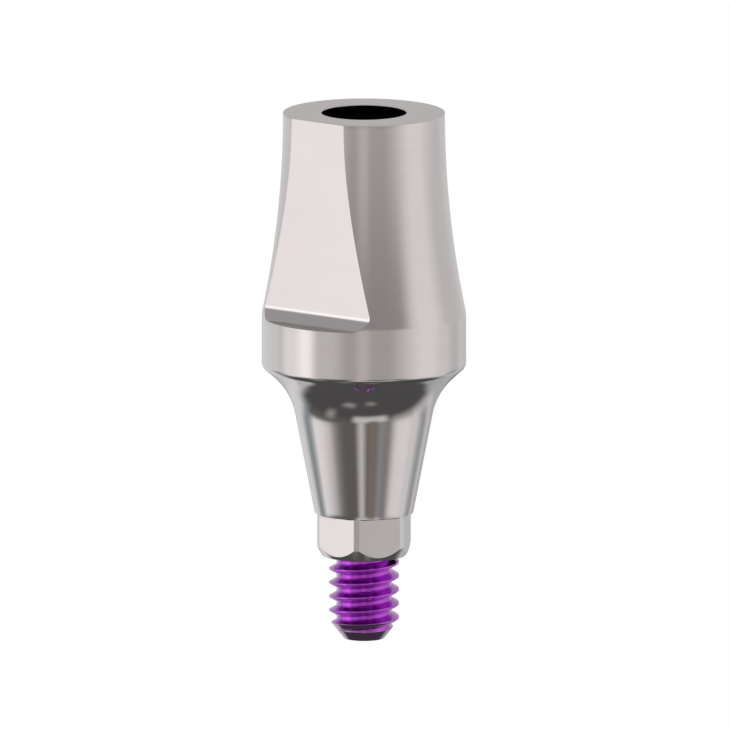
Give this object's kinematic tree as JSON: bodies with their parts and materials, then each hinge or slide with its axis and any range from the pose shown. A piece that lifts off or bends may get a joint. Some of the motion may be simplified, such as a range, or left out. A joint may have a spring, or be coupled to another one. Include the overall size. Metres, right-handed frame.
{
  "type": "dental abutment",
  "caption": "Straight dental implant abutment: tapered post with a milled flat, collar, polished cone and keying hexagon, with its purple retaining screw.",
  "frame": {"origin": "on the implant axis, at the shoulder where the cone ends and the hexagon starts", "axes": "+Z along the implant axis, out of the implant towards the crown; -Y is the outward normal of the milled flat and of one side of the hexagon; +X completes the right-handed frame"},
  "size_m": [0.0058, 0.0058, 0.0152],
  "materials": {
    "titanium": "turned titanium, satin on the post and collar, polished on the flare and cone",
    "violet_anodised": "glossy violet anodised titanium"
  },
  "bodies": {
    "abutment": {"abutment": "titanium"},
    "screw": {"abutment_screw": "violet_anodised"}
  },
  "joints": [
    {"name": "screw_turn", "type": "hinge", "parent": "abutment", "child": "screw", "pos_m": [0, 0, 0.0012], "axis": [0, 0, 1], "continuous": true}
  ]
}
